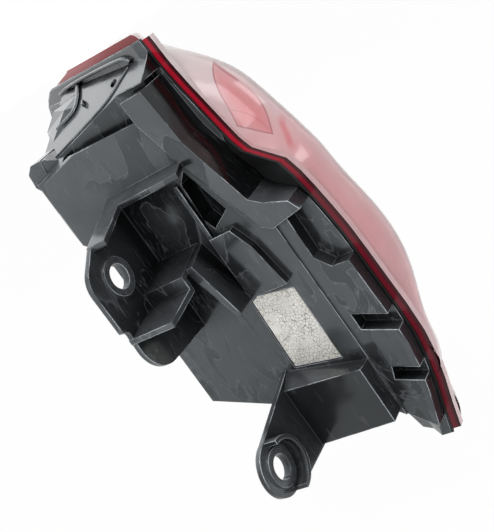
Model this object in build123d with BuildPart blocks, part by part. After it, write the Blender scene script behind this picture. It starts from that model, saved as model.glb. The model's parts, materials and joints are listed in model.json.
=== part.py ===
from build123d import *
import os
from collections import namedtuple

# Right-hand tail light cluster, in millimetres, upright as on the vehicle:
# X outboard, Y towards the front of the vehicle, Z up, lens facing -Y.
# The side panel lies at X = 0, and the bolt ears stand inboard of it.

# Lens
lens_wall = 3.0
lens_top_wall = 5.0
lens_overrun = 3.0
cell_gap = 0.4
cell_wall = 2.0
foot_height = 5.5
foot_proud = 1.5
foot_reach = 3.0
seal_thickness = 1.2
seat_gap = 0.2

# Housing shell
wall = 3.0
flange_depth = 6.0
flange_proud = 1.0
flange_share = 0.95
flange_drop = 4.0
box_width = 72.0
chamber_x = 27.0
back_low_y = 68.0
back_high_y = 86.0
back_step_rise = 16.0
back_land = 1.0
back_bevel = 9.0
bottom_front = (-36.0, -71.0)
bottom_tip = (-51.0, -87.0)
bottom_mid = (33.0, -41.0)

# Side levels, measured outboard from the side panel
rail_depth = 22.0
rail_proud = 3.0
pocket_depth = 10.0
step_depth = 1.2
ramp_step = 12.0

# Sloping roof of the housing: height at X = Y = 0 and its two slopes
roof_height = 146.1
roof_rise_x = 0.45
roof_fall_y = 0.21

# Bolt ears
ear_plate = 3.0
ear_hole_radius = 7.0
ear_ring_radius = 11.0
ear_ring_height = 1.5
upper_ear_back = 42.0
upper_ear_hole = (-34.5, 75.0)
upper_ear_reach = 56.5
lower_ear_back = 14.0
lower_ear_hole = (-52.0, -51.0)
lower_ear_radius = 16.0
collar_wall = 2.5
collar_height = 8.0
web = 3.0

# Label
label_thickness = 0.4
label_recess = 0.8
label_margin = 0.5

# Bulb carrier and the opening that it closes
bulb_x = 40.0
bulb_middle = 28.0
bulb_end_space = 12.0
opening_width = 30.0
opening_height = 88.0
opening_corner = 5.0
carrier_plate = 2.5
carrier_overlap = 4.5
carrier_clearance = 0.4
carrier_ring = 2.0
carrier_seal_height = 2.0
latch_width = 10.0
latch_hook = 1.2
socket_radius = 9.5
socket_depth = 15.0
bulb_base_radius = 7.4
bulb_glass_radius = 9.5
bulb_clearance = 0.2
inlet_size = (26.0, 13.0)
inlet_corner = 2.0
inlet_length = 13.0
inlet_wall = 1.6
pin_count = 4
pin_pitch = 5.0
pin_size = (2.0, 0.8)
pin_length = 11.0
strip_thickness = 0.6

# Reflector
reflector_sheet = 1.5
reflector_front_y = 14.0
bowl_gap = 1.0
bowl_back_y = 52.0
boss_width = 9.0
boss_length = 20.0
screw_radius = 1.6
screw_length = 14.0
screw_head_radius = 3.5
screw_head_height = 2.4

# Outboard locating studs, vents and foam seal
stud_x = 76.0
stud_heights = {"upper_ball_stud": 115.0, "lower_ball_stud": 70.0}
stud_boss_radius = 7.0
stud_seat_y = 118.0
stud_boss_length = 30.0
stud_shank_radius = 3.0
stud_shank_depth = 10.0
stud_ball_radius = 5.0
stud_neck = 9.0
vent_places = {"upper_vent": (30.0, 114.0), "lower_vent": (54.0, 114.0)}
vent_nipple_radius = 3.5
vent_nipple_length = 7.0
vent_cap_wall = 1.5
body_seal_width = 4.0
body_seal_height = 4.0
body_seal_margin = 1.0

# Lens sections, from the top down. Each has the inboard rim, the nose that
# faces the rear, a point on the outboard side and the outboard rim.
Section = namedtuple("Section", "height rim nose side out")
SECTIONS = [
    Section(171, (26, -14), (48, 10), (70, 46), (82, 80)),
    Section(166, (23, -19), (45, -4), (80, 47), (90, 102)),
    Section(158, (22.5, -20), (45, -12), (85, 45), (97, 116)),
    Section(145, (23, -21), (44, -27), (86, 38), (97, 121)),
    Section(125, (23, -24.5), (42, -45.5), (87, 32), (97, 122)),
    Section(105, (22, -29), (41, -53.5), (87, 28), (97, 122)),
    Section(92, (17, -36.5), (38, -59.5), (87, 25), (97, 121)),
    Section(80, (12.5, -53), (36, -64), (86, 22), (97, 119)),
    Section(62, (12, -58), (35, -67.5), (85, 16), (97, 116)),
    Section(35, (12, -62), (35, -72.5), (83, 8), (96, 106)),
    Section(0, (12, -64), (34, -73.5), (78, -6), (92, 86)),
    Section(-35, (12, -65), (30.5, -65), (66, -26), (80, 56)),
    Section(-65, (12, -59.5), (27, -58), (50, -38), (63, 20)),
    Section(-100, (14, -49), (22, -49), (33, -42), (40, -25)),
]
TOP = SECTIONS[0].height
BOTTOM = SECTIONS[-1].height
MIDDLE = (TOP + BOTTOM) / 2

# Values that follow from the driving dimensions
bulb_pitch = opening_height / 2 - bulb_end_space
bulb_heights = {
    "turn_bulb": bulb_middle + bulb_pitch,
    "stop_bulb": bulb_middle,
    "reverse_bulb": bulb_middle - bulb_pitch,
}
bowl_mouth_radius = bulb_pitch / 2 - bowl_gap
boss_heights = (bulb_middle - bulb_pitch / 2, bulb_middle + bulb_pitch / 2)
foam_inner_width = opening_width + 2 * (carrier_overlap + body_seal_margin)
foam_inner_height = opening_height + 2 * (carrier_overlap + body_seal_margin)
foam_width = foam_inner_width + 2 * body_seal_width
foam_height = foam_inner_height + 2 * body_seal_width
back_step_low = bulb_middle + foam_height / 2 + back_land
back_step_high = back_step_low + back_step_rise
bottom_back_z = bulb_middle - foam_height / 2 - back_land
low_wall_inside = back_low_y - wall
carrier_y = back_low_y + carrier_seal_height
flange_start = 2 * seat_gap + seal_thickness
reflector_back_y = reflector_front_y + reflector_sheet
boss_x = chamber_x - 5.0
socket_end_y = carrier_y - socket_depth
bulb_seat_y = carrier_y - wall
inlet_place = (bulb_x, bulb_middle + bulb_pitch / 2)
flange_top = Plane.XY.offset(TOP - flange_drop)
lens_top = Plane.XY.offset(TOP - lens_top_wall)
far = 150.0


def moved(point, dx, dy):
    return (point[0] + dx, point[1] + dy)


def along(section, share, dy):
    """Point at a share of the way from the inboard rim to the outboard rim."""
    x = section.rim[0] + share * (section.out[0] - section.rim[0])
    y = section.rim[1] + share * (section.out[1] - section.rim[1])
    return (x, y + dy)


def between(upper, lower, before, after):
    """Section half-way between two neighbours, on a smooth curve through four."""
    values = []
    for k in range(1, 5):
        ends = [(section[k][0], section[k][1]) for section in (before, upper, lower, after)]
        values.append(tuple((9 * (b + c) - a - d) / 16 for a, b, c, d in zip(*ends)))
    return Section((upper.height + lower.height) / 2, *values)


def mixed(first, second, share):
    """Section on the straight way from one section to another."""
    points = []
    for a, b in zip(first[1:], second[1:]):
        points.append((a[0] + share * (b[0] - a[0]), a[1] + share * (b[1] - a[1])))
    return Section(first.height + share * (second.height - first.height), *points)


def lens_face(section, inset):
    """Section of the lens body, pulled inwards by inset on the curved side."""
    height = MIDDLE + (section.height - MIDDLE) * (1 - 2 * inset / (TOP - BOTTOM))
    overrun = lens_overrun + 2 * inset
    rim = moved(section.rim, inset, overrun)
    nose = moved(section.nose, -0.5 * inset, 0.87 * inset)
    side = moved(section.side, -0.95 * inset, 0.3 * inset)
    out = moved(section.out, -inset, overrun)
    start = Vector(nose[0] - rim[0], nose[1] - rim[1]).rotate(Axis.Z, -35)
    with BuildSketch(Plane.XY.offset(height)) as face:
        with BuildLine():
            Spline(rim, nose, side, out, tangents=[start, (1, 0.6), (0.35, 1), (0.12, 1)])
            Line(out, rim)
        make_face()
    return face.sketch


def front_faces(start):
    """Sections of all the space in front of the rim, moved back by start."""
    faces = []
    for section in RIM:
        slope = (section.out[1] - section.rim[1]) / (section.out[0] - section.rim[0])
        reach = far - section.out[0]
        corners = [
            (-far, section.rim[1] + start),
            moved(section.rim, 0, start),
            moved(section.out, reach, start + reach * slope),
            (far, -far),
            (-far, -far),
        ]
        with BuildSketch(Plane.XY.offset(section.height)) as face:
            Polygon(*corners, align=None)
        faces.append(face.sketch)
    return faces


def rim_band(start, depth, proud):
    """Sections of a band that lies behind the lens rim."""
    faces = []
    for section in RIM:
        corners = [
            moved(section.rim, -proud, start),
            along(section, flange_share, start),
            along(section, flange_share, start + depth),
            moved(section.rim, -proud, start + depth),
        ]
        with BuildSketch(Plane.XY.offset(section.height)) as face:
            Polygon(*corners, align=None)
        faces.append(face.sketch)
    return faces


def side_prism(corners, near, deep, mode=Mode.ADD):
    """Prism with its outline in the side view (Y, Z), between two X levels."""
    with BuildSketch(Plane.YZ.offset(near)) as outline:
        Polygon(*corners, align=None)
    extrude(outline.sketch, amount=deep - near, mode=mode)


def ear_prism(corners, front, back, mode=Mode.ADD):
    """Prism with its outline in the rear view (X, Z), between two Y levels."""
    with BuildSketch(Plane.XZ.offset(-back)) as outline:
        Polygon(*corners, align=None)
    extrude(outline.sketch, amount=back - front, mode=mode)


# Rim sections: those of the lens with one more between each two
RIM = []
for i, section in enumerate(SECTIONS[:-1]):
    before = SECTIONS[max(i - 1, 0)]
    after = SECTIONS[min(i + 2, len(SECTIONS) - 1)]
    RIM += [section, between(section, SECTIONS[i + 1], before, after)]
RIM.append(SECTIONS[-1])

# Space in front of the rim, taken away from the housing
with BuildPart() as lens_space:
    loft(front_faces(flange_start), ruled=True)

# Space in front of the housing side of the seal
with BuildPart() as seal_space:
    loft(front_faces(seat_gap + seal_thickness), ruled=True)

# Space in front of the lens side of the seal
with BuildPart() as foot_space:
    loft(front_faces(seat_gap), ruled=True)

# Space that holds the lens
with BuildPart() as lens_limit:
    loft(front_faces(0), ruled=True)

# Lamp chamber, taken away from the housing and from the rim bands
with BuildPart() as chamber:
    with BuildSketch(Plane.XY.offset(bottom_mid[1])):
        Polygon(
            (chamber_x, -far),
            (chamber_x, low_wall_inside),
            (box_width - 4, low_wall_inside),
            (box_width - 4, -far),
            align=None,
        )
    extrude(amount=far + 30)
    chamber_outline = [
        (-far, 148),
        (-20, 148),
        (60, 133),
        (low_wall_inside, 131),
        (low_wall_inside, bottom_back_z + wall),
        (bottom_mid[0], bottom_mid[1] + wall + 2),
        (-far, bottom_mid[1] + wall + 2),
    ]
    side_prism(chamber_outline, -far, far, Mode.INTERSECT)
    for section in SECTIONS[3:]:
        corners = [
            along(section, 0.18, -4),
            along(section, flange_share - 0.05, -4),
            along(section, flange_share - 0.07, 2),
            along(section, 0.54, 8),
        ]
        height = max(section.height, BOTTOM + wall)
        with BuildSketch(Plane.XY.offset(height)):
            Polygon(*corners, align=None)
    loft(ruled=True)
    core_front = reflector_front_y - 5
    core_bottom = bottom_back_z + wall + 1
    back_core = [
        (core_front, 127),
        (low_wall_inside, 127),
        (low_wall_inside, core_bottom),
        (core_front, core_bottom),
    ]
    side_prism(back_core, wall + 1, chamber_x + 1)
    front_core = [(-18, 52), (core_front + 1, 52), (core_front + 1, -44), (-18, -62)]
    side_prism(front_core, pocket_depth + wall + 1, chamber_x + 1)

with BuildPart() as housing:
    # Main box: plan and side outlines
    with BuildSketch(Plane.XY.offset(BOTTOM)):
        Polygon(
            (0, -far),
            (0, back_high_y - back_bevel),
            (back_bevel, back_high_y),
            (box_width, back_high_y),
            (box_width, -far),
            align=None,
        )
    extrude(amount=TOP - BOTTOM)
    box_outline = [
        (-far, TOP),
        (back_high_y, TOP),
        (back_high_y, back_step_high),
        (back_low_y, back_step_low),
        (back_low_y, bottom_back_z),
        bottom_mid,
        bottom_front,
        bottom_tip,
        (-far, bottom_tip[1]),
    ]
    side_prism(box_outline, -far, far, Mode.INTERSECT)
    # Wing that carries the outboard end of the lens
    for section in SECTIONS[2:]:
        corners = [
            along(section, 0.06, 3),
            along(section, flange_share - 0.01, 3),
            along(section, flange_share - 0.03, 9),
            along(section, 0.52, 12),
        ]
        with BuildSketch(Plane.XY.offset(section.height)):
            Polygon(*corners, align=None)
    loft(ruled=True)
    # Sloping roof
    roof = Plane(origin=(0, 0, roof_height), z_dir=(-roof_rise_x, roof_fall_y, 1))
    split(bisect_by=roof, keep=Keep.BOTTOM)
    # Lens flange all round, and the space in front of it
    loft(rim_band(0, flange_start + flange_depth, flange_proud), ruled=True)
    add(lens_space.part, mode=Mode.SUBTRACT)
    split(bisect_by=flange_top, keep=Keep.BOTTOM)
    # Step below the roof, with the upright end of the rail left standing
    roof_step = [(-far, 147), (-3, 147), (-3, 134.5), (61, 137.5), (far, 137.5), (far, far), (-far, far)]
    side_prism(roof_step, -1, ramp_step, Mode.SUBTRACT)
    side_prism([(-1, 131), (56, 132), (56, far), (-1, far)], wall, ramp_step, Mode.SUBTRACT)
    # Deep level between the rail and the lens
    rail_front = [
        (-12, far),
        (-12, 147),
        (-17.5, 147),
        (-21, 114),
        (-24, 104),
        (-34, 73),
        (-40, 68.5),
        (-53.5, 63.5),
        (-57, 57),
        (-far, 57),
        (-far, far),
    ]
    side_prism(rail_front, -1, rail_depth, Mode.SUBTRACT)
    # Raised rail along that level, and the rounded back corner of the panel
    rail = rail_front[2:9] + [(-45, 55), (-37, 53.5), (-31, 57), (-13, 102), (-3.3, 134), (-3, 147)]
    side_prism(rail, -rail_proud, 1)
    side_prism([(62, 137), (73, 132), (77, 120), (78, 112), (95, 112), (95, 140)], -1, 5, Mode.SUBTRACT)
    # Bulge behind the roof, and a drain hole through the roof
    side_prism([(76, 125), (84, 124), (88, 130), (87, 138), (82, 142), (74, 142)], back_bevel, 50)
    with BuildSketch(Plane.XY.offset(roof_height - 10)):
        with Locations((27, 15)):
            SlotOverall(8, 4.4, rotation=40)
    extrude(amount=40, mode=Mode.SUBTRACT)
    # Long shallow step and the pockets beside the lower rim
    long_step = [(-far, 55), (-37, 55), (-38.5, -20), (-38.5, -95), (-far, -95)]
    side_prism(long_step, -1, step_depth, Mode.SUBTRACT)
    large_pocket = [(-far, 57), (-44.5, 57), (-44.5, 29), (-51, 21), (-far, 16)]
    small_pocket = [(-44, -7.5), (-44, -18), (-70, -28), (-70, -17.5)]
    tip_pocket = [(-47, -44), (-44, -52), (-70, -62), (-70, -53)]
    for outline in (large_pocket, small_pocket, tip_pocket):
        side_prism(outline, -1, pocket_depth, Mode.SUBTRACT)
    # Dark recess behind the rail, rib beside it and raised pad below it
    rail_recess = [(-9, 101), (-3, 95), (-2, 73), (-5, 66), (-18, 73)]
    side_prism(rail_recess, -1, ramp_step, Mode.SUBTRACT)
    side_prism([(-2, 96), (0.5, 96), (0.5, 24), (-2, 24)], -3, 1)
    side_prism([(-1, 63), (-1, 24), (-26, 24), (-21, 50), (-15, 63)], -5, 1)
    # Lamp chamber
    add(chamber.part, mode=Mode.SUBTRACT)
    # Upper ear: plate, roof wall, stepped shelf and cross wall
    upper_front = upper_ear_back - ear_plate
    with BuildSketch(Plane.XZ.offset(-upper_ear_back)):
        with BuildLine():
            FilletPolyline(
                (1, 107),
                (-38, 96),
                (-upper_ear_reach, 84),
                (-upper_ear_reach, 53),
                (-upper_ear_reach + 4, 51),
                (-upper_ear_reach + 2, 22),
                (1, 18.5),
                radius=[14, 14, 1.5, 1.5, 18],
            )
            Line((1, 18.5), (1, 107))
        make_face()
    extrude(amount=ear_plate)
    ear_prism([(1, 107.5), (-12, 104), (-12, 101), (1, 104.5)], -13, upper_ear_back)
    ear_prism([(-12, 104), (-38, 96.5), (-38, 93.5), (-12, 101)], 29, upper_ear_back)
    shelf = [
        (1, 63.4),
        (-26.5, 57.8),
        (-26.5, 50.3),
        (-upper_ear_reach + 3, 47),
        (-upper_ear_reach + 3, 44),
        (-24, 47.3),
        (-24, 55.2),
        (1, 60.4),
    ]
    ear_prism(shelf, 11, upper_ear_back)
    with BuildSketch(Plane.YZ.offset(1)):
        Polygon((8, 62.5), (14, 62.5), (1, 24), (-2, 24), align=None)
    with BuildSketch(Plane.YZ.offset(-20)):
        Polygon((7, 58.5), (13, 58.5), (1, 24), (-2, 24), align=None)
    loft()
    # Lower ear: plate, collar, roof wall, face plate and end wall
    lower_front = lower_ear_back - ear_plate
    with BuildSketch(Plane.XZ.offset(-lower_ear_back)):
        Polygon((1, -24), (-54, -35.3), (-52, -51), (-45, -65), (-36, -70), (1, -70), align=None)
        with Locations(lower_ear_hole):
            Circle(lower_ear_radius)
    extrude(amount=ear_plate)
    with BuildSketch(Plane.XZ.offset(-lower_front)):
        with Locations(lower_ear_hole):
            Circle(lower_ear_radius)
            Circle(lower_ear_radius - collar_wall, mode=Mode.SUBTRACT)
        with Locations((lower_ear_hole[0] - lower_ear_radius, lower_ear_hole[1])):
            Rectangle(2 * lower_ear_radius, 3 * lower_ear_radius, mode=Mode.SUBTRACT)
    extrude(amount=collar_height)
    with BuildSketch(Plane.YZ.offset(1)):
        Polygon((14, -24), (-38, -35), (-38, -38), (14, -27), align=None)
    with BuildSketch(Plane.YZ.offset(-12)):
        Polygon((14, -30), (-38, -33), (-38, -36), (14, -33), align=None)
    loft()
    side_prism([(14, -31), (-38, -34), (-38, -68.5), (14, -68.5)], -12, -12 + web)
    side_prism([(-38, -34), (-38 + web, -34), (-38 + web, -68.5), (-38, -68.5)], -12, 2)
    # Ear holes with their raised rings
    for place, front, back in (
        (upper_ear_hole, upper_front, upper_ear_back),
        (lower_ear_hole, lower_front, lower_ear_back),
    ):
        with BuildSketch(Plane.XZ.offset(-front)):
            with Locations(place):
                Circle(ear_ring_radius)
        extrude(amount=ear_ring_height)
        with BuildSketch(Plane.XZ.offset(-back)):
            with Locations(place):
                Circle(ear_hole_radius)
        extrude(amount=ear_plate + ear_ring_height, mode=Mode.SUBTRACT)
    # Label recess
    label_outline = [(3, 20), (-1.5, 22), (-24.5, 18.8), (-24.5, -28.4), (4.5, -24.2)]
    with BuildSketch(Plane.YZ.offset(-1)):
        Polygon(*label_outline, align=None)
        offset(amount=label_margin)
    extrude(amount=1 + label_recess, mode=Mode.SUBTRACT)
    # Flat land for the foam seal, and the opening for the bulb carrier
    with BuildSketch(Plane.XZ.offset(-back_low_y)):
        with Locations((bulb_x, bulb_middle)):
            Rectangle(foam_width + 2 * back_land, foam_height + 2 * back_land)
    extrude(amount=-far, mode=Mode.SUBTRACT)
    with BuildSketch(Plane.XZ.offset(-back_low_y)):
        with Locations((bulb_x, bulb_middle)):
            RectangleRounded(opening_width, opening_height, opening_corner)
    extrude(amount=2 * wall, mode=Mode.SUBTRACT)
    # Screw bosses for the reflector
    for height in boss_heights:
        with BuildSketch(Plane.XZ.offset(-reflector_back_y)):
            with Locations((1, height)):
                Rectangle(boss_x + boss_width / 2, boss_width, align=(Align.MIN, Align.CENTER))
        extrude(amount=-boss_length)
        with BuildSketch(Plane.XZ.offset(-reflector_back_y)):
            with Locations((boss_x, height)):
                Circle(screw_radius + seat_gap)
        extrude(amount=-screw_length, mode=Mode.SUBTRACT)
    # Bosses for the locating studs, and vent nipples
    for height in stud_heights.values():
        with BuildSketch(Plane.XZ.offset(-stud_seat_y)):
            with Locations((stud_x, height)):
                Circle(stud_boss_radius)
        extrude(amount=stud_boss_length)
        with BuildSketch(Plane.XZ.offset(-stud_seat_y)):
            with Locations((stud_x, height)):
                Circle(stud_shank_radius + seat_gap)
        extrude(amount=stud_shank_depth, mode=Mode.SUBTRACT)
    for place in vent_places.values():
        with BuildSketch(Plane.XZ.offset(-back_high_y)):
            with Locations(place):
                Circle(vent_nipple_radius)
        extrude(amount=-vent_nipple_length)
housing.part.label = "housing"

with BuildPart() as lens_seal:
    loft(rim_band(-1, flange_start + 2, flange_proud), ruled=True)
    add(seal_space.part, mode=Mode.INTERSECT)
    add(foot_space.part, mode=Mode.SUBTRACT)
    add(chamber.part, mode=Mode.SUBTRACT)
    split(bisect_by=flange_top, keep=Keep.BOTTOM)
lens_seal.part.label = "lens_seal"

with BuildPart() as lens_hollow:
    loft([lens_face(section, lens_wall) for section in SECTIONS])
    split(bisect_by=lens_top, keep=Keep.BOTTOM)

with BuildPart() as outer_lens:
    loft([lens_face(section, 0) for section in SECTIONS])
    add(lens_limit.part, mode=Mode.INTERSECT)
    add(lens_hollow.part, mode=Mode.SUBTRACT)
    # Foot along the inboard rim, ended just above the lower tip
    for section in RIM[2:-1] + [mixed(RIM[-1], RIM[-2], 0.15)]:
        low = moved(section.rim, -foot_proud, -foot_height)
        high = moved(section.rim, foot_reach, -seat_gap / 2)
        corners = [low, (high[0], low[1]), high, (low[0], high[1])]
        with BuildSketch(Plane.XY.offset(section.height)):
            Polygon(*corners, align=None)
    loft(ruled=True)
outer_lens.part.label = "outer_lens"

with BuildPart() as label:
    with BuildSketch(Plane.YZ.offset(label_recess - label_thickness)):
        Polygon(*label_outline, align=None)
    extrude(amount=label_thickness)
label.part.label = "label"

# Inner red cell, a shell close behind the inboard side of the outer lens
with BuildPart() as cell_hollow:
    loft([lens_face(section, lens_wall + cell_gap + cell_wall) for section in SECTIONS])

with BuildPart() as inner_lens:
    loft([lens_face(section, lens_wall + cell_gap) for section in SECTIONS])
    add(cell_hollow.part, mode=Mode.SUBTRACT)
    side_prism([(-38, 139), (-30, 112), (-36, 92), (-46, 82), (-49, 116)], 28, 46, Mode.INTERSECT)
inner_lens.part.label = "inner_lens"

with BuildPart() as reflector:
    with BuildSketch(Plane.XZ.offset(-reflector_front_y)):
        with Locations((bulb_x, bulb_middle)):
            RectangleRounded(2 * bowl_mouth_radius + 3, opening_height + 8, opening_corner)
        for height in boss_heights:
            with Locations((bulb_x, height)):
                Rectangle(bulb_x - boss_x + boss_width / 2 - 1, boss_width, align=(Align.MAX, Align.CENTER))
        for height in boss_heights:
            with Locations((boss_x, height)):
                Circle(screw_radius + seat_gap, mode=Mode.SUBTRACT)
        for height in bulb_heights.values():
            with Locations((bulb_x, height)):
                Circle(bowl_mouth_radius, mode=Mode.SUBTRACT)
    extrude(amount=-reflector_sheet)
    for height in bulb_heights.values():
        mouth = (bulb_x + bowl_mouth_radius, reflector_front_y)
        middle = (bulb_x + bowl_mouth_radius - 1, 36)
        throat = (bulb_x + socket_radius + 1, bowl_back_y)
        with BuildSketch(Plane.XY.offset(height)):
            with BuildLine():
                ThreePointArc(mouth, middle, throat)
                Line(throat, moved(throat, reflector_sheet, 0))
                ThreePointArc(
                    moved(throat, reflector_sheet, 0),
                    moved(middle, reflector_sheet, 0),
                    moved(mouth, reflector_sheet, 0),
                )
                Line(moved(mouth, reflector_sheet, 0), mouth)
            make_face()
        revolve(axis=Axis((bulb_x, 0, height), (0, 1, 0)))
reflector.part.label = "reflector"

with BuildPart() as reflector_screws:
    for height in boss_heights:
        with BuildSketch(Plane.XZ.offset(-reflector_front_y)):
            with Locations((boss_x, height)):
                Circle(screw_head_radius)
        extrude(amount=screw_head_height)
        with BuildSketch(Plane.XZ.offset(-reflector_front_y)):
            with Locations((boss_x, height)):
                Circle(screw_radius)
        extrude(amount=-screw_length + 1)
reflector_screws.part.label = "reflector_screws"

with BuildPart() as bulb_carrier:
    # Cover plate and the ring that enters the opening
    with BuildSketch(Plane.XZ.offset(-carrier_y)):
        with Locations((bulb_x, bulb_middle)):
            RectangleRounded(
                opening_width + 2 * carrier_overlap,
                opening_height + 2 * carrier_overlap,
                opening_corner + carrier_overlap,
            )
    extrude(amount=-carrier_plate)
    ring_width = opening_width - 2 * carrier_clearance
    ring_height = opening_height - 2 * carrier_clearance
    ring_corner = opening_corner - carrier_clearance
    with BuildSketch(Plane.XZ.offset(-carrier_y)):
        with Locations((bulb_x, bulb_middle)):
            RectangleRounded(ring_width, ring_height, ring_corner)
            RectangleRounded(
                ring_width - 2 * carrier_ring,
                ring_height - 2 * carrier_ring,
                ring_corner - carrier_ring,
                mode=Mode.SUBTRACT,
            )
    extrude(amount=carrier_seal_height + 2 * wall)
    # Latch hooks that hold behind the back wall
    hook_front = back_low_y - 2 * wall
    hook_back = low_wall_inside - carrier_clearance
    hook_reach = carrier_clearance + latch_hook
    for side in (1, -1):
        edge = bulb_middle + side * ring_height / 2
        with BuildSketch(Plane.YZ.offset(bulb_x - latch_width / 2)):
            Polygon(
                (hook_front, edge - side),
                (hook_front, edge),
                (hook_back, edge + side * hook_reach),
                (hook_back, edge - side),
                align=None,
            )
        extrude(amount=latch_width)
    # Bulb sockets
    for height in bulb_heights.values():
        with BuildSketch(Plane.XZ.offset(-carrier_y)):
            with Locations((bulb_x, height)):
                Circle(socket_radius)
        extrude(amount=socket_depth)
        with BuildSketch(Plane.XZ.offset(-bulb_seat_y)):
            with Locations((bulb_x, height)):
                Circle(bulb_base_radius + bulb_clearance)
        extrude(amount=socket_depth, mode=Mode.SUBTRACT)
    # Connector inlet, open to the front of the vehicle
    with BuildSketch(Plane.XZ.offset(-carrier_y - carrier_plate)):
        with Locations(inlet_place):
            RectangleRounded(*inlet_size, inlet_corner)
            RectangleRounded(
                inlet_size[0] - 2 * inlet_wall,
                inlet_size[1] - 2 * inlet_wall,
                inlet_corner - inlet_wall / 2,
                mode=Mode.SUBTRACT,
            )
    extrude(amount=-inlet_length)
    with BuildSketch(Plane.XZ.offset(-carrier_y)):
        with Locations(inlet_place):
            with GridLocations(pin_pitch, 1, pin_count, 1):
                Rectangle(pin_size[0] + 2 * seat_gap, pin_size[1] + 2 * seat_gap)
    extrude(amount=-carrier_plate, mode=Mode.SUBTRACT)
bulb_carrier.part.label = "bulb_carrier"

with BuildPart() as carrier_seal:
    with BuildSketch(Plane.XZ.offset(-back_low_y)):
        with Locations((bulb_x, bulb_middle)):
            RectangleRounded(
                opening_width + 2 * carrier_overlap - 2,
                opening_height + 2 * carrier_overlap - 2,
                opening_corner + carrier_overlap - 1,
            )
            RectangleRounded(opening_width + 1, opening_height + 1, opening_corner, mode=Mode.SUBTRACT)
    extrude(amount=-carrier_seal_height)
carrier_seal.part.label = "carrier_seal"

with BuildPart() as contact_strip:
    with BuildSketch(Plane.XZ.offset(-carrier_y)):
        with Locations((bulb_x, bulb_middle)):
            RectangleRounded(
                ring_width - 2 * carrier_ring - 2 * seat_gap,
                ring_height - 2 * carrier_ring - 2 * seat_gap,
                ring_corner - carrier_ring,
            )
        for height in bulb_heights.values():
            with Locations((bulb_x, height)):
                Circle(socket_radius + seat_gap, mode=Mode.SUBTRACT)
    extrude(amount=strip_thickness)
contact_strip.part.label = "contact_strip"

with BuildPart() as connector_pins:
    with BuildSketch(Plane.XZ.offset(-carrier_y)):
        with Locations(inlet_place):
            with GridLocations(pin_pitch, 1, pin_count, 1):
                Rectangle(*pin_size)
    extrude(amount=-carrier_plate - pin_length)
connector_pins.part.label = "connector_pins"

with BuildPart() as body_seal:
    with BuildSketch(Plane.XZ.offset(-back_low_y)):
        with Locations((bulb_x, bulb_middle)):
            RectangleRounded(foam_width, foam_height, 12)
            RectangleRounded(foam_inner_width, foam_inner_height, 9, mode=Mode.SUBTRACT)
    extrude(amount=-body_seal_height)
body_seal.part.label = "body_seal"

pieces = [
    housing,
    lens_seal,
    outer_lens,
    inner_lens,
    label,
    reflector,
    reflector_screws,
    bulb_carrier,
    carrier_seal,
    contact_strip,
    connector_pins,
    body_seal,
]

# Bulbs: cap in the socket and rounded glass, one sealed piece each
for name, height in bulb_heights.items():
    with BuildPart() as bulb:
        cap_end = socket_end_y - 5
        neck = (bulb_x + bulb_base_radius - 1, cap_end)
        belly = (bulb_x + bulb_glass_radius, cap_end - 14)
        tip = (bulb_x, cap_end - 26)
        with BuildSketch(Plane.XY.offset(height)):
            with BuildLine():
                Polyline(
                    tip,
                    (bulb_x, bulb_seat_y),
                    (bulb_x + bulb_base_radius, bulb_seat_y),
                    (bulb_x + bulb_base_radius, cap_end),
                    neck,
                )
                Spline(neck, belly, tip, tangents=[(0.2, -1), (-1, 0)])
            make_face()
        revolve(axis=Axis((bulb_x, 0, height), (0, 1, 0)))
    bulb.part.label = name
    pieces.append(bulb)

# Locating studs on the outboard side
for name, height in stud_heights.items():
    with BuildPart() as stud:
        ball_y = stud_seat_y + stud_neck
        neck_y = ball_y - (stud_ball_radius**2 - stud_shank_radius**2) ** 0.5
        with BuildSketch(Plane.XY.offset(height)):
            with BuildLine():
                Polyline(
                    (stud_x, ball_y + stud_ball_radius),
                    (stud_x, stud_seat_y - stud_shank_depth + 1),
                    (stud_x + stud_shank_radius, stud_seat_y - stud_shank_depth + 1),
                    (stud_x + stud_shank_radius, stud_seat_y),
                    (stud_x + 2 * stud_shank_radius, stud_seat_y),
                    (stud_x + 2 * stud_shank_radius, stud_seat_y + 2),
                    (stud_x + stud_shank_radius, stud_seat_y + 2),
                    (stud_x + stud_shank_radius, neck_y),
                )
                ThreePointArc(
                    (stud_x + stud_shank_radius, neck_y),
                    (stud_x + stud_ball_radius, ball_y),
                    (stud_x, ball_y + stud_ball_radius),
                )
            make_face()
        revolve(axis=Axis((stud_x, 0, height), (0, 1, 0)))
    stud.part.label = name
    pieces.append(stud)

# Vent caps over the nipples
for name, place in vent_places.items():
    with BuildPart() as vent:
        cap_radius = vent_nipple_radius + seat_gap + vent_cap_wall
        with BuildSketch(Plane.XZ.offset(-back_high_y)):
            with Locations(place):
                Circle(cap_radius)
        extrude(amount=-vent_nipple_length - vent_cap_wall - seat_gap)
        with BuildSketch(Plane.XZ.offset(-back_high_y)):
            with Locations(place):
                Circle(vent_nipple_radius + seat_gap)
        extrude(amount=-vent_nipple_length - seat_gap, mode=Mode.SUBTRACT)
    vent.part.label = name
    pieces.append(vent)

# Saved with the origin in the upper ear hole, on the back face of the ear
to_origin = Location((-upper_ear_hole[0], -upper_ear_back, -upper_ear_hole[1]))
os.makedirs("parts", exist_ok=True)
for piece in pieces:
    export_step(piece.part.moved(to_origin), f"parts/{piece.part.label}.step")
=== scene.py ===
import json

import bpy
import numpy as np
from mathutils import Matrix, Vector


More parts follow.
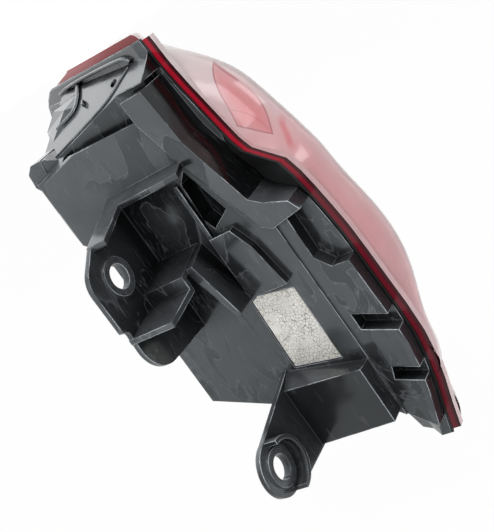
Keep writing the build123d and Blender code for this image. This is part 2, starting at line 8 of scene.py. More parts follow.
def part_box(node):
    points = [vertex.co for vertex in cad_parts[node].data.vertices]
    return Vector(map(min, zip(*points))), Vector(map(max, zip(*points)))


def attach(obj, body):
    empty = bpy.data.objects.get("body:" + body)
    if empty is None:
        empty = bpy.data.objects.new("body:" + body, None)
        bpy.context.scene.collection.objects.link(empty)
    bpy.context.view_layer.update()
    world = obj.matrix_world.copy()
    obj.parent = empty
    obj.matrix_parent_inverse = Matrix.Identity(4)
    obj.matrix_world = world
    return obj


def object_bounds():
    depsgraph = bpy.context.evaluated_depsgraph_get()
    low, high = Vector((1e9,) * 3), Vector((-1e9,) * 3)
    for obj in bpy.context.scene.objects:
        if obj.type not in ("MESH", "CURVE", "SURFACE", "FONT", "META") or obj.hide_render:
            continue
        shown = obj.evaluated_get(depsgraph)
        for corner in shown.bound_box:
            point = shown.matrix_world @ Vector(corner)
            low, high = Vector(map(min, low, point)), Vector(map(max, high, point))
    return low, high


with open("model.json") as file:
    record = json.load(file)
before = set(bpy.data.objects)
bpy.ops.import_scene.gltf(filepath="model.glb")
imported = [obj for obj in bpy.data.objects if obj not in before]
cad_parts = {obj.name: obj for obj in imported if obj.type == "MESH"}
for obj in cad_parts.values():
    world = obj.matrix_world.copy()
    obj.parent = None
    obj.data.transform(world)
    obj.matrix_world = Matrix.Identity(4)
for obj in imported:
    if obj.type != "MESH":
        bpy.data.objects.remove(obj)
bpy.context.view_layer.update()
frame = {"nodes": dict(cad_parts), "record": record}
nodes = frame["nodes"]

# Places and sizes are in metres, in the row's frame. A pair with a name in _X or _Z is a soft limit:
# the look changes between its two values.

# Housing: end of the ears, low walls, face plate of the lower ear, fade of the film and of the drips
EARS_X = (0.02, 0.028)
LOW_WALL_Z = (-0.05, -0.03)
PLATE_X = (0.024, 0.028)
PLATE_Z = (-0.095, -0.085)
FILM_Z = (-0.13, -0.03)
DRIPS_Z = (-0.05, 0.03)
# Dust on the flange, as the distance past the rim of the lens
DUST_START = (-0.006, -0.005)
DUST_END = (-0.001, 0.0)
# Bolt holes: middle of each ring, and the radii between which its wear fades
BOLT_RINGS = [
    ((0.0, -0.004, 0.0), (0.0105, 0.013)),
    ((-0.0175, -0.032, -0.126), (0.0125, 0.015)),
]
# Wave of the turned grooves in radians per metre, about 1 mm from groove to groove
GROOVE_WAVE = 6000.0
# Where a face counts as inboard side, rear or top, as X, Y or Z of its normal
SIDE_TURN = (-0.9, -0.5)
REAR_TURN = (-0.95, -0.6)
TOP_TURN = (0.3, 0.8)
# Dried water and drips: noise in a patch, at its outline and off it, share of the wash, two greys
PATCH = dict(inside=(0.53, 0.545), line=0.535, off=(0.002, 0.012), wash=0.9, dark=0.006, pale=0.15)
DRIP = dict(inside=(0.56, 0.58), line=0.555, off=(0.002, 0.02), wash=0.8, dark=0.01, pale=0.16)
OUTLINE_SHARE = 0.4
# Painted highlight on the outer edges: how far the bevelled normal is the face's own, then reach and
# limits of the open air
EDGE_TURN = (0.82, 0.97)
EDGE_AIR = (0.004, 0.6, 0.9)

# Lens: pale top and grey away from the rim, both painted reflection; end of the cell's lines, start of
# the clear red
PALE_Z = (0.02, 0.07)
GREYER_X = (0.056, 0.073)
CELL_END_X = (0.076, 0.078)
CLEAR_X = (0.075, 0.1)
# Outline of the leaf-shaped cell in the lens, seen along X
CELL_ARC_CENTRE = (0.0, -0.0304, 0.0193)
CELL_ARC_RADIUS = 0.0639
CELL_SIDE = -0.0792
CELL_FOOT = (-0.0943, 0.0165)
CELL_SLOPE = (0.63, 0.775)
CELL_INNER_CENTRE = (0.0, -0.0544, 0.0043)
CELL_INNER_RADIUS = 0.0415
# Soft edges of the cell, its shading and its lines
CELL_EDGE = (-0.0004, 0.0004)
CELL_SHADING = (-0.009, 0.0)
CELL_LINE = (0.0001, 0.0005)
CELL_INNER_LINE = (0.0001, 0.0004)
# Ends of the slim bar below it, as Y and Z, and its soft edge
BAR_LOW = (-0.101, 0.0045)
BAR_HIGH = (-0.0985, 0.0225)
BAR_EDGE = (0.0004, 0.0018)

# Foot of the lens: lines and painted shade as distances past the rim, then where its faces lie from the
# rim
FOOT_STRIPE = (0.0003, 0.0008)
FOOT_SHADE = (0.0029, 0.0036)
FOOT_END = (0.0045, 0.0049)
FOOT_CUT = (-0.001, 0.0)
FOOT_DARK_Z = (-0.02, 0.03)
FOOT_INBOARD = 0.0015
FOOT_NEAR = 0.0004
FOOT_DEPTH = (-0.006, 0.0005)
# Cut edge of the lens: its direction, and the least part of it in a face's normal
CUT_FACING = Vector((-0.878, 0.479, 0.0))
CUT_LEAST = 0.75

# Bulbs: length of the metal cap, and half the width of its edge
CAP_LENGTH = 0.0172
CAP_EDGE = 0.0002

# Inboard rim of the lens from the top down: height, X and Y
ROWS = np.array([
    (0.096, 0.0605, -0.056),
    (0.091, 0.0575, -0.061),
    (0.083, 0.057, -0.062),
    (0.07, 0.0575, -0.063),
    (0.05, 0.0575, -0.0665),
    (0.03, 0.0565, -0.071),
    (0.017, 0.0515, -0.0785),
    (0.005, 0.047, -0.095),
    (-0.013, 0.0465, -0.1),
    (-0.04, 0.0465, -0.104),
    (-0.075, 0.0465, -0.106),
    (-0.11, 0.0465, -0.107),
    (-0.14, 0.0465, -0.1015),
    (-0.175, 0.0485, -0.091),
])
# A cubic through four rows gives one more row half-way between each two
padded = np.vstack([ROWS[:1], ROWS, ROWS[-1:]])
halfway = (9 * (ROWS[:-1] + ROWS[1:]) - padded[:-3] - padded[3:]) / 16
halfway[:, 0] = (ROWS[:-1, 0] + ROWS[1:, 0]) / 2
rim = np.vstack([ROWS, halfway])
RIM_Z, RIM_X, RIM_Y = rim[np.argsort(rim[:, 0])].T

# Usual range of a noise texture
NOISE_RANGE = (0.3, 0.7)
# Sockets of the Mix node that are for colours
MIX_A, MIX_B, MIX_RESULT = 6, 7, 2


class NodeTree:
    """A node tree with short calls for its parts."""

    def __init__(self, tree):
        self.tree = tree

    def add(self, kind, inputs=None, **settings):
        node = self.tree.nodes.new(kind)
        for key, value in settings.items():
            setattr(node, key, value)
        for key, value in (inputs or {}).items():
            self.put(value, node.inputs[key])
        return node

    def put(self, value, socket):
        """Link a socket, or set a plain value."""
        if isinstance(value, bpy.types.NodeSocket):
            self.tree.links.new(value, socket)
        else:
            socket.default_value = value

    def math(self, operation, a, b=0.0):
        return self.add("ShaderNodeMath", {0: a, 1: b}, operation=operation).outputs[0]

    def times(self, result, *others):
        for other in others:
            result = self.math("MULTIPLY", result, other)
        return result

    def most(self, result, *others):
        """The largest of the values."""
        for other in others:
            result = self.math("MAXIMUM", result, other)
        return result

    def minus(self, a, b):
        return self.math("SUBTRACT", a, b)

    def apart(self, a, b):
        """How far two values are apart."""
        return self.math("ABSOLUTE", self.minus(a, b))

    def ramp(self, value, low, high, start=0.0, end=1.0):
        """Start up to the low value, end from the high one on, and a straight line between."""
        limits = {"From Min": low, "From Max": high, "To Min": start, "To Max": end}
        return self.add("ShaderNodeMapRange", {"Value": value, **limits}, clamp=True).outputs["Result"]

    def between(self, share, start, end):
        return self.ramp(share, 0.0, 1.0, start, end)

    def seen(self):
        """1 for what is looked at, also in a mirror or through a lens, and 0 for the light it gives."""
        rays = self.add("ShaderNodeLightPath").outputs
        return self.most(rays["Is Camera Ray"], rays["Is Glossy Ray"], rays["Is Transmission Ray"])


class Shader(NodeTree):
    """A node material."""

    def __init__(self, name):
        self.material = bpy.data.materials.new(name)
        self.material.use_nodes = True
        super().__init__(self.material.node_tree)
        self.body = self.tree.nodes["Principled BSDF"]
        self.output = self.tree.nodes["Material Output"]
        spot = self.add("ShaderNodeTexCoord")
        self.place = spot.outputs["Object"]
        self.turned = spot.outputs["Normal"]

    def split(self, vector):
        return self.add("ShaderNodeSeparateXYZ", {0: vector}).outputs[:]

    def noise(self, scale, detail=4.0, roughness=0.55, distortion=0.0, stretch=None):
        vector = self.place
        if stretch:
            mapping = self.add("ShaderNodeMapping", {"Vector": self.place, "Scale": stretch})
            vector = mapping.outputs["Vector"]
        grain = {"Scale": scale, "Detail": detail, "Roughness": roughness, "Distortion": distortion}
        return self.add("ShaderNodeTexNoise", {"Vector": vector, **grain}).outputs["Fac"]

    def spread(self, noise, start=0.0, end=1.0):
        """Noise brought from its usual range to another."""
        return self.ramp(noise, *NOISE_RANGE, start, end)

    def cracks(self, scale):
        inputs = {"Vector": self.place, "Scale": scale}
        return self.add("ShaderNodeTexVoronoi", inputs, feature="DISTANCE_TO_EDGE").outputs["Distance"]

    def mix(self, share, a, b):
        node = self.add("ShaderNodeMix", data_type="RGBA")
        self.put(share, node.inputs[0])
        self.put(a, node.inputs[MIX_A])
        self.put(b, node.inputs[MIX_B])
        return node.outputs[MIX_RESULT]

    def bump(self, height, strength, distance):
        inputs = {"Height": height, "Strength": strength, "Distance": distance}
        return self.add("ShaderNodeBump", inputs)

    def rounded(self, radius):
        return self.add("ShaderNodeBevel", {"Radius": radius}, samples=6).outputs["Normal"]

    def open_air(self, distance, low, high):
        """0 in corners and narrow gaps, 1 on open faces."""
        node = self.add("ShaderNodeAmbientOcclusion", {"Distance": distance}, samples=8)
        return self.ramp(node.outputs["AO"], low, high)

    def curve(self, value, points):
        """Value read off a line through points that run from 0 to 1 both ways."""
        node = self.add("ShaderNodeFloatCurve", {"Value": value})
        line = node.mapping.curves[0]
        for x, y in points[1:-1]:
            line.points.new(x, y)
        line.points[0].location = points[0]
        line.points[-1].location = points[-1]
        for point in line.points:
            point.handle_type = "VECTOR"
        node.mapping.update()
        return node.outputs["Value"]

    def edges(self, radius):
        """1 along the outer edges of the shape, 0 on its faces."""
        normal = self.add("ShaderNodeNewGeometry").outputs["Normal"]
        inputs = {0: self.rounded(radius), 1: normal}
        agree = self.add("ShaderNodeVectorMath", inputs, operation="DOT_PRODUCT").outputs["Value"]
        return self.times(self.ramp(agree, *EDGE_TURN, 1.0, 0.0), self.open_air(*EDGE_AIR))

    def distance(self, point, vector=None):
        """Distance from a point of the object."""
        inputs = {0: vector or self.place, 1: point}
        return self.add("ShaderNodeVectorMath", inputs, operation="DISTANCE").outputs["Value"]

    def set(self, **values):
        for key, value in values.items():
            self.put(value, self.body.inputs[key.replace("_", " ")])


def grey(value):
    """Cool grey."""
    return (value * 0.94, value, value * 1.08, 1.0)


def past_rim(paint, y, z):
    """How far a point lies beyond the inboard rim of the lens, along -Y."""
    low_z, high_z = RIM_Z[0], RIM_Z[-1]
    low_y, high_y = RIM_Y.min(), RIM_Y.max()
    points = list(zip((RIM_Z - low_z) / (high_z - low_z), (RIM_Y - low_y) / (high_y - low_y)))
    rim_y = paint.curve(paint.ramp(z, low_z, high_z), points)
    return paint.minus(paint.between(rim_y, low_y, high_y), y)


def add_water(paint, colour, pattern, where, inside, line, off, wash, dark, pale):
    """A colour with dried water, washed darker inside a thin pale outline, and that outline."""
    washed = paint.times(paint.ramp(pattern, *inside), where)
    outline = paint.times(paint.ramp(paint.apart(pattern, line), *off, 1.0, 0.0), where)
    colour = paint.mix(paint.times(washed, wash), colour, grey(dark))
    return paint.mix(paint.times(outline, OUTLINE_SHARE), colour, grey(pale)), outline


def add_rings(paint, colour):
    """A colour with fine turned grooves and scuffs round the bolt holes."""
    for hole, fade in BOLT_RINGS:
        reach = paint.distance(hole)
        groove = paint.ramp(paint.math("SINE", paint.times(reach, GROOVE_WAVE)), -1.0, 1.0)
        scuff = paint.times(groove, paint.ramp(paint.noise(200, 3), 0.35, 0.65, 0.4, 1.0))
        worn = paint.mix(scuff, grey(0.02), grey(0.13))
        colour = paint.mix(paint.ramp(reach, *fade, 0.9, 0.0), colour, worn)
    return colour


def black_plastic():
    """Glossy black moulding with a grey film, dried water marks and worn ear rings, painted light on
    top faces and edges, and painted shade in corners.
    """
    paint = Shader("black_plastic")
    x, y, z = paint.split(paint.place)
    facing_x, facing_y, facing_z = paint.split(paint.turned)
    side = paint.ramp(facing_x, *SIDE_TURN, 1.0, 0.0)
    top = paint.ramp(facing_z, *TOP_TURN)
    # Of the rear faces only the ears and the low walls are dusty
    dusty_rear = paint.most(paint.ramp(x, *EARS_X, 0.6, 0.0), paint.ramp(z, *LOW_WALL_Z, 0.5, 0.0))
    rear = paint.times(paint.ramp(facing_y, *REAR_TURN, 1.0, 0.0), dusty_rear)
    # The face plate of the lower ear is cleaner than the rest
    off_plate = paint.most(paint.ramp(x, *PLATE_X), paint.ramp(z, *PLATE_Z))
    marked = paint.times(side, off_plate)
    dusty_side = paint.times(paint.between(off_plate, 0.45, 1.0), paint.ramp(z, *FILM_Z, 0.6, 1.0))
    # Grey film on the open side and rear faces, a lighter grey on top faces that is dust with painted
    # light from above, black elsewhere
    open_faces = paint.most(paint.times(side, dusty_side), rear, top)
    # Painted shade: the film fades to black in corners and narrow gaps
    film_and_shade = paint.times(open_faces, paint.open_air(0.045, 0.3, 0.9))
    # Dust on the flange beside the lens, where it can't be wiped off
    out = past_rim(paint, y, z)
    flange = paint.times(paint.ramp(out, *DUST_START), paint.ramp(out, *DUST_END, 0.8, 0.0))
    film_and_shade = paint.most(film_and_shade, paint.times(flange, side))
    side_dust = paint.mix(paint.spread(paint.noise(14, 6, 0.6)), grey(0.025), grey(0.085))
    # Top faces: lighter grey, dust with painted light from above
    top_dust_and_light = paint.mix(paint.spread(paint.noise(30, 4, 0.6)), grey(0.035), grey(0.13))
    colour = paint.mix(film_and_shade, grey(0.004), paint.mix(top, side_dust, top_dust_and_light))
    # Dried water: washed patches that run downwards
    patch = paint.noise(40, 4, 0.5, 0.9, (1.0, 1.0, 0.5))
    area = paint.times(paint.ramp(paint.noise(11, 2), 0.42, 0.52), paint.most(marked, rear))
    colour, marks = add_water(paint, colour, patch, area, **PATCH)
    # Short drips, most of them low on the panel
    drip = paint.noise(120, 3, 0.5, 0.6, (1.0, 1.0, 0.35))
    low_down = paint.times(paint.ramp(z, *DRIPS_Z, 1.0, 0.25), marked)
    low_down = paint.times(low_down, paint.ramp(paint.noise(24, 2), 0.4, 0.55))
    colour, _ = add_water(paint, colour, drip, low_down, **DRIP)
    colour = add_rings(paint, colour)
    # Fine scratches, and a painted highlight along the outer edges
    lines = paint.noise(900, 2, 0.5, 0.0, (1.0, 0.2, 0.06))
    colour = paint.mix(paint.times(paint.ramp(lines, 0.64, 0.72), 0.1), colour, grey(0.26))
    # Painted highlight: pale grey along the outer edges
    edge_highlight = paint.times(paint.edges(0.0008), paint.ramp(paint.noise(45, 3), 0.45, 0.55, 0.1, 1.0))
    colour = paint.mix(edge_highlight, colour, grey(0.85))
    gloss = paint.math("ADD", paint.spread(paint.noise(60, 6), 0.1, 0.22), paint.times(marks, 0.25))
    bump = paint.bump(paint.noise(140), 0.04, 0.0006)
    paint.put(paint.rounded(0.0012), bump.inputs["Normal"])
    paint.set(
        Base_Color=colour,
        Roughness=gloss,
        Normal=bump.outputs["Normal"],
        Specular_Tint=(0.88, 0.96, 1.0, 1),
        Specular_IOR_Level=paint.between(paint.most(film_and_shade, edge_highlight), 0.3, 1.0),
    )
    return paint.material


def add_cell(paint, colour, y, z, inboard):
    """The lens colour with its leaf-shaped cell: in an arc, above a slope, beside an upright line."""
    flat = paint.add("ShaderNodeCombineXYZ", {"Y": y, "Z": z}).outputs[0]
    off_arc = paint.minus(paint.distance(CELL_ARC_CENTRE, flat), CELL_ARC_RADIUS)
    off_side = paint.minus(y, CELL_SIDE)
    aside = paint.times(paint.minus(y, CELL_FOOT[0]), CELL_SLOPE[0])
    above = paint.times(paint.minus(z, CELL_FOOT[1]), CELL_SLOPE[1])
    outside = paint.most(off_arc, off_side, paint.minus(aside, above))
    fill = paint.times(paint.ramp(outside, *CELL_EDGE, 1.0, 0.0), inboard)
    fill = paint.times(fill, paint.ramp(outside, *CELL_SHADING, 0.95, 0.45))
    line = paint.times(paint.ramp(paint.math("ABSOLUTE", outside), *CELL_LINE, 0.8, 0.0), inboard)
    off_inner = paint.apart(paint.distance(CELL_INNER_CENTRE, flat), CELL_INNER_RADIUS)
    inner_line = paint.times(paint.ramp(off_inner, *CELL_INNER_LINE, 0.6, 0.0), fill)
    colour = paint.mix(fill, colour, (0.84, 0.13, 0.16, 1))
    return paint.mix(paint.most(line, inner_line), colour, (0.42, 0.09, 0.11, 1))


def add_bar(paint, colour, y, z, inboard):
    """The lens colour with the slim bright bar below the cell."""
    rise = paint.ramp(z, BAR_LOW[1], BAR_HIGH[1])
    off_bar = paint.apart(y, paint.between(rise, BAR_LOW[0], BAR_HIGH[0]))
    ends = paint.ramp(paint.apart(rise, 0.5), 0.25, 0.5, 1.0, 0.0)
    bar = paint.times(paint.ramp(off_bar, *BAR_EDGE, 0.6, 0.0), ends, inboard)
    return paint.mix(bar, colour, (0.8, 0.08, 0.11, 1))


def red_lens():
    """Red lens plastic, cloudy with age and painted paler with reflected light, with the lines of the
    cell moulded inside it.
    """
    paint = Shader("red_lens")
    x, y, z = paint.split(paint.place)
    # Pale pinks: the lens's cloudiness with age, and painted reflection of grazing light
    haze = paint.ramp(paint.noise(16), 0.3, 0.75)
    colour = paint.mix(haze, (0.88, 0.44, 0.46, 1), (0.92, 0.58, 0.6, 1))
    # Painted reflection: paler towards the top
    colour = paint.mix(paint.ramp(z, *PALE_Z, 0.0, 0.9), colour, (0.96, 0.82, 0.83, 1))
    streaks = paint.noise(60, 3, 0.5, 0.0, (1.0, 1.0, 0.12))
    colour = paint.mix(paint.ramp(streaks, 0.55, 0.75, 0.0, 0.5), colour, (0.84, 0.28, 0.31, 1))
    # Painted reflection: greyer away from the rim, towards the outline
    colour = paint.mix(paint.ramp(x, *GREYER_X, 0.0, 0.45), colour, (0.86, 0.79, 0.78, 1))
    inboard = paint.ramp(x, *CELL_END_X, 1.0, 0.0)
    colour = add_cell(paint, colour, y, z, inboard)
    colour = add_bar(paint, colour, y, z, inboard)
    # The haze ends beyond the side that the photograph shows: clear red on the outboard face
    clear = paint.ramp(x, *CLEAR_X)
    red = paint.mix(haze, (0.5, 0.012, 0.025, 1), (0.62, 0.02, 0.04, 1))
    paint.set(
        Base_Color=paint.mix(clear, colour, red),
        Roughness=paint.spread(paint.noise(90, 5), 0.03, 0.09),
        Transmission_Weight=paint.between(clear, 0.5, 0.35),
        IOR=1.49,
        Coat_Weight=paint.between(clear, 1.0, 0.3),
        Coat_IOR=1.6,
        Coat_Roughness=paint.between(clear, 0.25, 0.04),
        Sheen_Weight=paint.between(clear, 1.0, 0.1),
        Sheen_Roughness=0.35,
    )
    return paint.material


def red_foot():
    """Thick inboard foot of the lens: a crimson stripe between dark lines that follow the rim, with
    painted shade in the crease and on the outer face.
    """
    paint = Shader("red_foot")
    _, y, z = paint.split(paint.place)
    out = past_rim(paint, y, z)
    bright = paint.mix(paint.noise(60, 3), (0.32, 0.006, 0.02, 1), (0.48, 0.01, 0.03, 1))
    crimson = paint.mix(paint.ramp(z, *FOOT_DARK_Z), (0.15, 0.008, 0.018, 1), bright)
    # Painted shade: dark in the crease next to the lens body
    colour = paint.mix(paint.ramp(out, *FOOT_STRIPE), (0.015, 0.003, 0.003, 1), crimson)
    # Painted shade: the outer face past the stripe is dark maroon
    colour = paint.mix(paint.ramp(out, *FOOT_SHADE), colour, (0.06, 0.008, 0.012, 1))
    colour = paint.mix(paint.ramp(out, *FOOT_END), colour, (0.02, 0.002, 0.004, 1))
    cut = paint.ramp(out, *FOOT_CUT, 1.0, 0.0)
    paint.set(
        Base_Color=paint.mix(cut, colour, (0.28, 0.03, 0.035, 1)),
        Roughness=paint.spread(paint.noise(120), 0.12, 0.25),
        Specular_IOR_Level=paint.between(cut, 0.25, 0.15),
    )
    return paint.material


def red_inner():
    """Clear red plastic with fine flutes."""
    paint = Shader("red_inner")
    flutes = paint.noise(420, 1, 0.4, 0.0, (1.0, 0.25, 1.0))
    paint.set(
        Base_Color=paint.mix(flutes, (0.62, 0.005, 0.01, 1), (0.8, 0.015, 0.02, 1)),
        Roughness=paint.spread(flutes, 0.05, 0.16),
        Transmission_Weight=0.45,
        IOR=1.49,
        Normal=paint.bump(flutes, 0.4, 0.0008).outputs["Normal"],
    )
    return paint.material


def foil():
    """Bare silver foil, crackled all over."""
    paint = Shader("foil")
    silver = paint.mix(paint.spread(paint.noise(70, 5)), (0.84, 0.82, 0.76, 1), (0.96, 0.95, 0.92, 1))
    warped = paint.math("ADD", paint.cracks(520), paint.times(paint.noise(180, 3), 0.06))
    wide = paint.ramp(warped, 0.05, 0.1, 1.0, 0.0)
    wide = paint.times(wide, paint.ramp(paint.noise(75, 3), 0.3, 0.5))
    fine = paint.ramp(paint.cracks(1300), 0.02, 0.07, 1.0, 0.0)
    fine = paint.times(fine, paint.ramp(paint.noise(90, 3), 0.36, 0.55))
    crack = paint.most(wide, paint.times(fine, 0.7))
    paint.set(
        Base_Color=paint.mix(paint.times(crack, 0.85), silver, (0.14, 0.13, 0.11, 1)),
        Metallic=0.35,
        Roughness=0.42,
        Normal=paint.bump(crack, -0.3, 0.0003).outputs["Normal"],
    )
    return paint.material


def metal(name, dark, light, smooth, rough, **grain):
    """Bare metal, cloudy or brushed as its grain says."""
    paint = Shader(name)
    tarnish = paint.noise(**grain)
    paint.set(
        Base_Color=paint.mix(tarnish, dark, light),
        Metallic=1.0,
        Roughness=paint.spread(tarnish, smooth, rough),
    )
    return paint.material


def matte(name, dark, light, scale, rough, bumps):
    """Plain moulded or rubber surface with a fine grain."""
    paint = Shader(name)
    grain = paint.noise(scale, 6, 0.6)
    paint.set(
        Base_Color=paint.mix(grain, dark, light),
        Roughness=paint.spread(grain, rough, rough + 0.15),
        Normal=paint.bump(grain, bumps, 0.0005).outputs["Normal"],
    )
    return paint.material


def bulb_glass():
    """Clear glass above a bright metal cap, told apart by their place along the lamp."""
    paint = Shader("bulb_glass")
    y = paint.split(paint.place)[1]
    cap_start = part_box("stop_bulb")[1][1] - CAP_LENGTH
    cap = paint.ramp(y, cap_start - CAP_EDGE, cap_start + CAP_EDGE)
    glass = paint.mix(paint.noise(80, 3), (0.9, 0.91, 0.92, 1), (0.97, 0.97, 0.97, 1))
    paint.set(
        Base_Color=paint.mix(cap, glass, (0.72, 0.7, 0.64, 1)),
        Metallic=cap,
        Roughness=paint.between(cap, 0.03, 0.25),
        Transmission_Weight=paint.between(cap, 0.95, 0.0),
        IOR=1.5,
    )
    return paint.material


# Dark and light colour of some finishes
SILVER = (0.84, 0.84, 0.85, 1), (0.93, 0.93, 0.94, 1)
STEEL = (0.4, 0.4, 0.41, 1), (0.62, 0.62, 0.63, 1)
BRASS = (0.5, 0.33, 0.12, 1), (0.75, 0.56, 0.26, 1)
IVORY = (0.6, 0.58, 0.5, 1), (0.74, 0.72, 0.64, 1)
BRUSHED = dict(scale=700, detail=3, roughness=0.5, stretch=(1.0, 0.08, 1.0))
FINISHES = {
    "black_plastic": black_plastic(),
    "sealant": matte("sealant", grey(0.006), grey(0.014), 240, 0.5, 0.1),
    "red_lens": red_lens(),
    "red_inner": red_inner(),
    "foil": foil(),
    "mirror_coat": metal("mirror_coat", *SILVER, 0.06, 0.16, scale=60),
    "steel": metal("steel", *STEEL, 0.22, 0.4, **BRUSHED),
    "grey_plastic": matte("grey_plastic", grey(0.2), grey(0.28), 160, 0.45, 0.08),
    "seal_rubber": matte("seal_rubber", grey(0.012), grey(0.026), 300, 0.6, 0.12),
    "brass_strip": metal("brass_strip", *BRASS, 0.2, 0.42, scale=130, detail=5),
    "bulb_glass": bulb_glass(),
    "stud_plastic": matte("stud_plastic", *IVORY, 120, 0.4, 0.06),
    "foam": matte("foam", grey(0.02), grey(0.05), 900, 0.85, 0.5),
}
for part in frame["record"]["subparts"]:
    shape = nodes[part["node"]]
    shape.data.materials.clear()
    shape.data.materials.append(FINISHES[part["material_slot"]])

# Foot and cut edge of the lens
cover = nodes["outer_lens"].data
cover.materials.append(red_foot())
for face in cover.polygons:
    x, y, z = face.center
    from_rim_x = x - np.interp(z, RIM_Z, RIM_X)
    from_rim_y = y - np.interp(z, RIM_Z, RIM_Y)
    on_side = abs(from_rim_x + FOOT_INBOARD) < FOOT_NEAR
    foot = on_side and FOOT_DEPTH[0] < from_rim_y < FOOT_DEPTH[1]
    cut = face.normal.dot(CUT_FACING) > CUT_LEAST
    face.material_index = int(foot or cut)

# Small mouldings of the deck: the sloping roof of the housing between its rim wall and the side panel
ROOF_UP = Vector((-0.403, 0.188, 0.896)).normalized()
ROOF_POINT = Vector((0.0752, -0.0129, 0.0834))
WALL_OUT = Vector((-0.872, 0.49, 0.01)).normalized()
SUNK = 0.0005
# Beads: share of each leg that a cut takes off the corners, number of cuts, height of the shoulders
CORNER_CUT = 0.25
CUTS = 2
SHOULDER = 0.6
LIP_LINE = [
    (0.0612, -0.0449, 0.0846),
    (0.0624, -0.0428, 0.0874),
    (0.066, -0.0363, 0.0886),
    (0.085, -0.0024, 0.089),
    (0.1048, 0.0331, 0.0888),
    (0.113, 0.0476, 0.087),
]
# Lines on the roof, as X and Y
EDGE_LINE = [
    (0.0602, -0.042),
    (0.057, -0.036),
    (0.053, -0.0315),
    (0.0495, -0.025),
    (0.0486, -0.01),
    (0.0486, 0.01),
    (0.0488, 0.026),
]
FOLD_LINE = [
    (0.0745, 0.0335),
    (0.0735, 0.0228),
    (0.074, 0.015),
    (0.083, 0.0161),
    (0.0916, 0.0195),
    (0.097, 0.021),
]
WEB_FOOT = [(0.066, 0.038), (0.076, 0.012), (0.092, 0.019), (0.101, 0.044), (0.086, 0.052)]
WEB_CREST = [(0.079, 0.024), (0.09, 0.04)]
WEB_HEIGHT = 0.0035
WEB_FACES = [(4, 3, 2, 1, 0), (0, 1, 5), (1, 2, 5), (2, 6, 5), (2, 3, 6), (3, 4, 6), (4, 0, 5, 6)]
TABS = {"deck_tab_a": (0.069, 0.004), "deck_tab_b": (0.098, 0.008)}
TAB_RUN = (0.004, 0.0015)
CORNER_FOOT = [(0.0437, 0.02), (0.056, 0.028), (0.056, 0.0328), (0.0437, 0.0328)]
CORNER_TOP = [(0.056, 0.0328, 0.0669), (0.0437, 0.0328, 0.0668), (0.0437, 0.029, 0.0664)]
CORNER_FACES = [(3, 2, 1, 0), (0, 1, 4, 6), (6, 4, 5), (1, 2, 4), (2, 3, 5, 4), (3, 0, 6, 5)]


def on_roof(spots, height=0.0):
    """Points at a height above the roof plane, over spots given as X and Y."""
    points = []
    for x, y in spots:
        fall = ROOF_UP.x * (x - ROOF_POINT.x) + ROOF_UP.y * (y - ROOF_POINT.y)
        points.append(Vector((x, y, ROOF_POINT.z - fall / ROOF_UP.z)) + ROOF_UP * height)
    return points


def moulding(name, points, faces):
    """Closed piece of the housing's plastic from points and faces."""
    mesh = bpy.data.meshes.new(name)
    mesh.from_pydata([tuple(v) for v in points], [], faces)
    mesh.update()
    piece = bpy.data.objects.new(name, mesh)
    bpy.context.collection.objects.link(piece)
    mesh.materials.append(FINISHES["black_plastic"])
    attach(piece, "root")


def bead(name, path, out, width, height):
    """Raised bead along a path with its corners cut off, standing out from a face."""
    for _ in range(CUTS):
        smoother = [path[0]]
        for a, b in zip(path, path[1:]):
            smoother += [a.lerp(b, CORNER_CUT), a.lerp(b, 1 - CORNER_CUT)]
        path = smoother + [path[-1]]
    left = [(-0.5, -SUNK), (-0.5, SHOULDER * height), (-0.25, height)]
    profile = left + [(-across, up) for across, up in reversed(left)]
    points = []
    for i, spot in enumerate(path):
        along = path[min(i + 1, len(path) - 1)] - path[max(i - 1, 0)]
        across = out.cross(along).normalized() * width
        points += [spot + across * u + out * v for u, v in profile]
    count = len(profile)
    faces = [tuple(range(count)), tuple(reversed(range(len(points) - count, len(points))))]
    for i in range(len(path) - 1):
        for k in range(count):
            a, b = i * count + k, i * count + (k + 1) % count
            faces.append((a, a + count, b + count, b))
    moulding(name, points, faces)


bead("deck_lip", [Vector(v) for v in LIP_LINE], WALL_OUT, width=0.0022, height=0.0022)
bead("deck_edge", on_roof(EDGE_LINE), ROOF_UP, width=0.0022, height=0.0008)
bead("deck_fold", on_roof(FOLD_LINE), ROOF_UP, width=0.004, height=0.0018)
moulding("deck_web", on_roof(WEB_FOOT, -SUNK) + on_roof(WEB_CREST, WEB_HEIGHT), WEB_FACES)
for name, (x, y) in TABS.items():
    ends = on_roof([(x, y), (x + TAB_RUN[0], y + TAB_RUN[1])])
    bead(name, ends, ROOF_UP, width=0.0016, height=0.0022)
# Corner behind the deck, where the roof runs up to the bulge
moulding("deck_corner", on_roof(CORNER_FOOT, -SUNK) + [Vector(v) for v in CORNER_TOP], CORNER_FACES)

# Middle of the lamp, for the floor and the lights
MIDDLE = Vector((0.05, 0.0, 0.0))

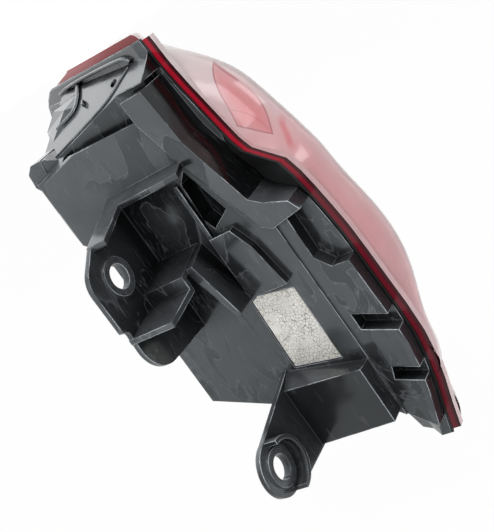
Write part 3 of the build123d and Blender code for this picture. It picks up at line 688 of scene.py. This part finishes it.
# Floor: pale, well below the lamp, with a faint shadow
FLOOR_SIZE = 14
FLOOR_BELOW = 0.03
FLOOR_GLOW = 0.97
floor_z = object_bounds()[0][2] - FLOOR_BELOW
bpy.ops.mesh.primitive_plane_add(size=FLOOR_SIZE, location=(MIDDLE.x, MIDDLE.y, floor_z))
floor = bpy.context.object
paint = Shader("floor")
pale = paint.mix(paint.noise(3, 3), (0.9, 0.9, 0.9, 1), (0.94, 0.94, 0.94, 1))
paint.set(Base_Color=pale, Roughness=0.9)
glow = paint.add("ShaderNodeEmission", {"Strength": 1.0})
looks = {0: paint.times(paint.seen(), FLOOR_GLOW), 1: paint.body.outputs[0], 2: glow.outputs[0]}
paint.put(paint.add("ShaderNodeMixShader", looks).outputs[0], paint.output.inputs["Surface"])
floor.data.materials.append(paint.material)

# World: white where it is seen, softer where it lights
WORLD_LIGHT = 0.5
world = bpy.data.worlds.new("studio")
bpy.context.scene.world = world
world.use_nodes = True
sky = NodeTree(world.node_tree)
backdrop = world.node_tree.nodes["Background"].inputs
sky.put((1, 1, 1, 1), backdrop["Color"])
sky.put(sky.between(sky.seen(), WORLD_LIGHT, 1.0), backdrop["Strength"])

# Area lights, turned to the middle of the lamp: name, place, size and power
LIGHTS = [
    ("back", (0.62, 0.82, 0.5), 0.9, 1),
    ("top", (-0.3, -0.1, 1.0), 0.3, 4),
    ("left", (-1.2, -0.5, 0.6), 0.8, 4),
    ("front", (-0.2, -1.3, 0.5), 0.6, 3),
]
for name, place, size, power in LIGHTS:
    light = bpy.data.lights.new(name, "AREA")
    light.size = size
    light.energy = power
    lamp = bpy.data.objects.new(name, light)
    lamp.location = place
    lamp.rotation_euler = (MIDDLE - Vector(place)).to_track_quat("-Z", "Y").to_euler()
    bpy.context.collection.objects.link(lamp)

# Camera at the photograph's angle
CAMERA_PLACE = (-0.4359, -0.3974, 0.1207)
CAMERA_RIGHT = Vector((0.368, -0.747, -0.554))
CAMERA_AHEAD = Vector((0.777, 0.574, -0.257))
ahead = CAMERA_AHEAD.normalized()
up = CAMERA_RIGHT.normalized().cross(ahead).normalized()
right = ahead.cross(up).normalized()
lens = bpy.data.cameras.new("camera")
lens.lens = 77.8
lens.sensor_width = 36
lens.clip_start = 0.01
camera = bpy.data.objects.new("camera", lens)
turn = Matrix((right, up, -ahead)).transposed().to_4x4()
camera.matrix_world = Matrix.Translation(CAMERA_PLACE) @ turn
bpy.context.collection.objects.link(camera)
bpy.context.scene.camera = camera
bpy.context.scene.view_settings.view_transform = "Standard"
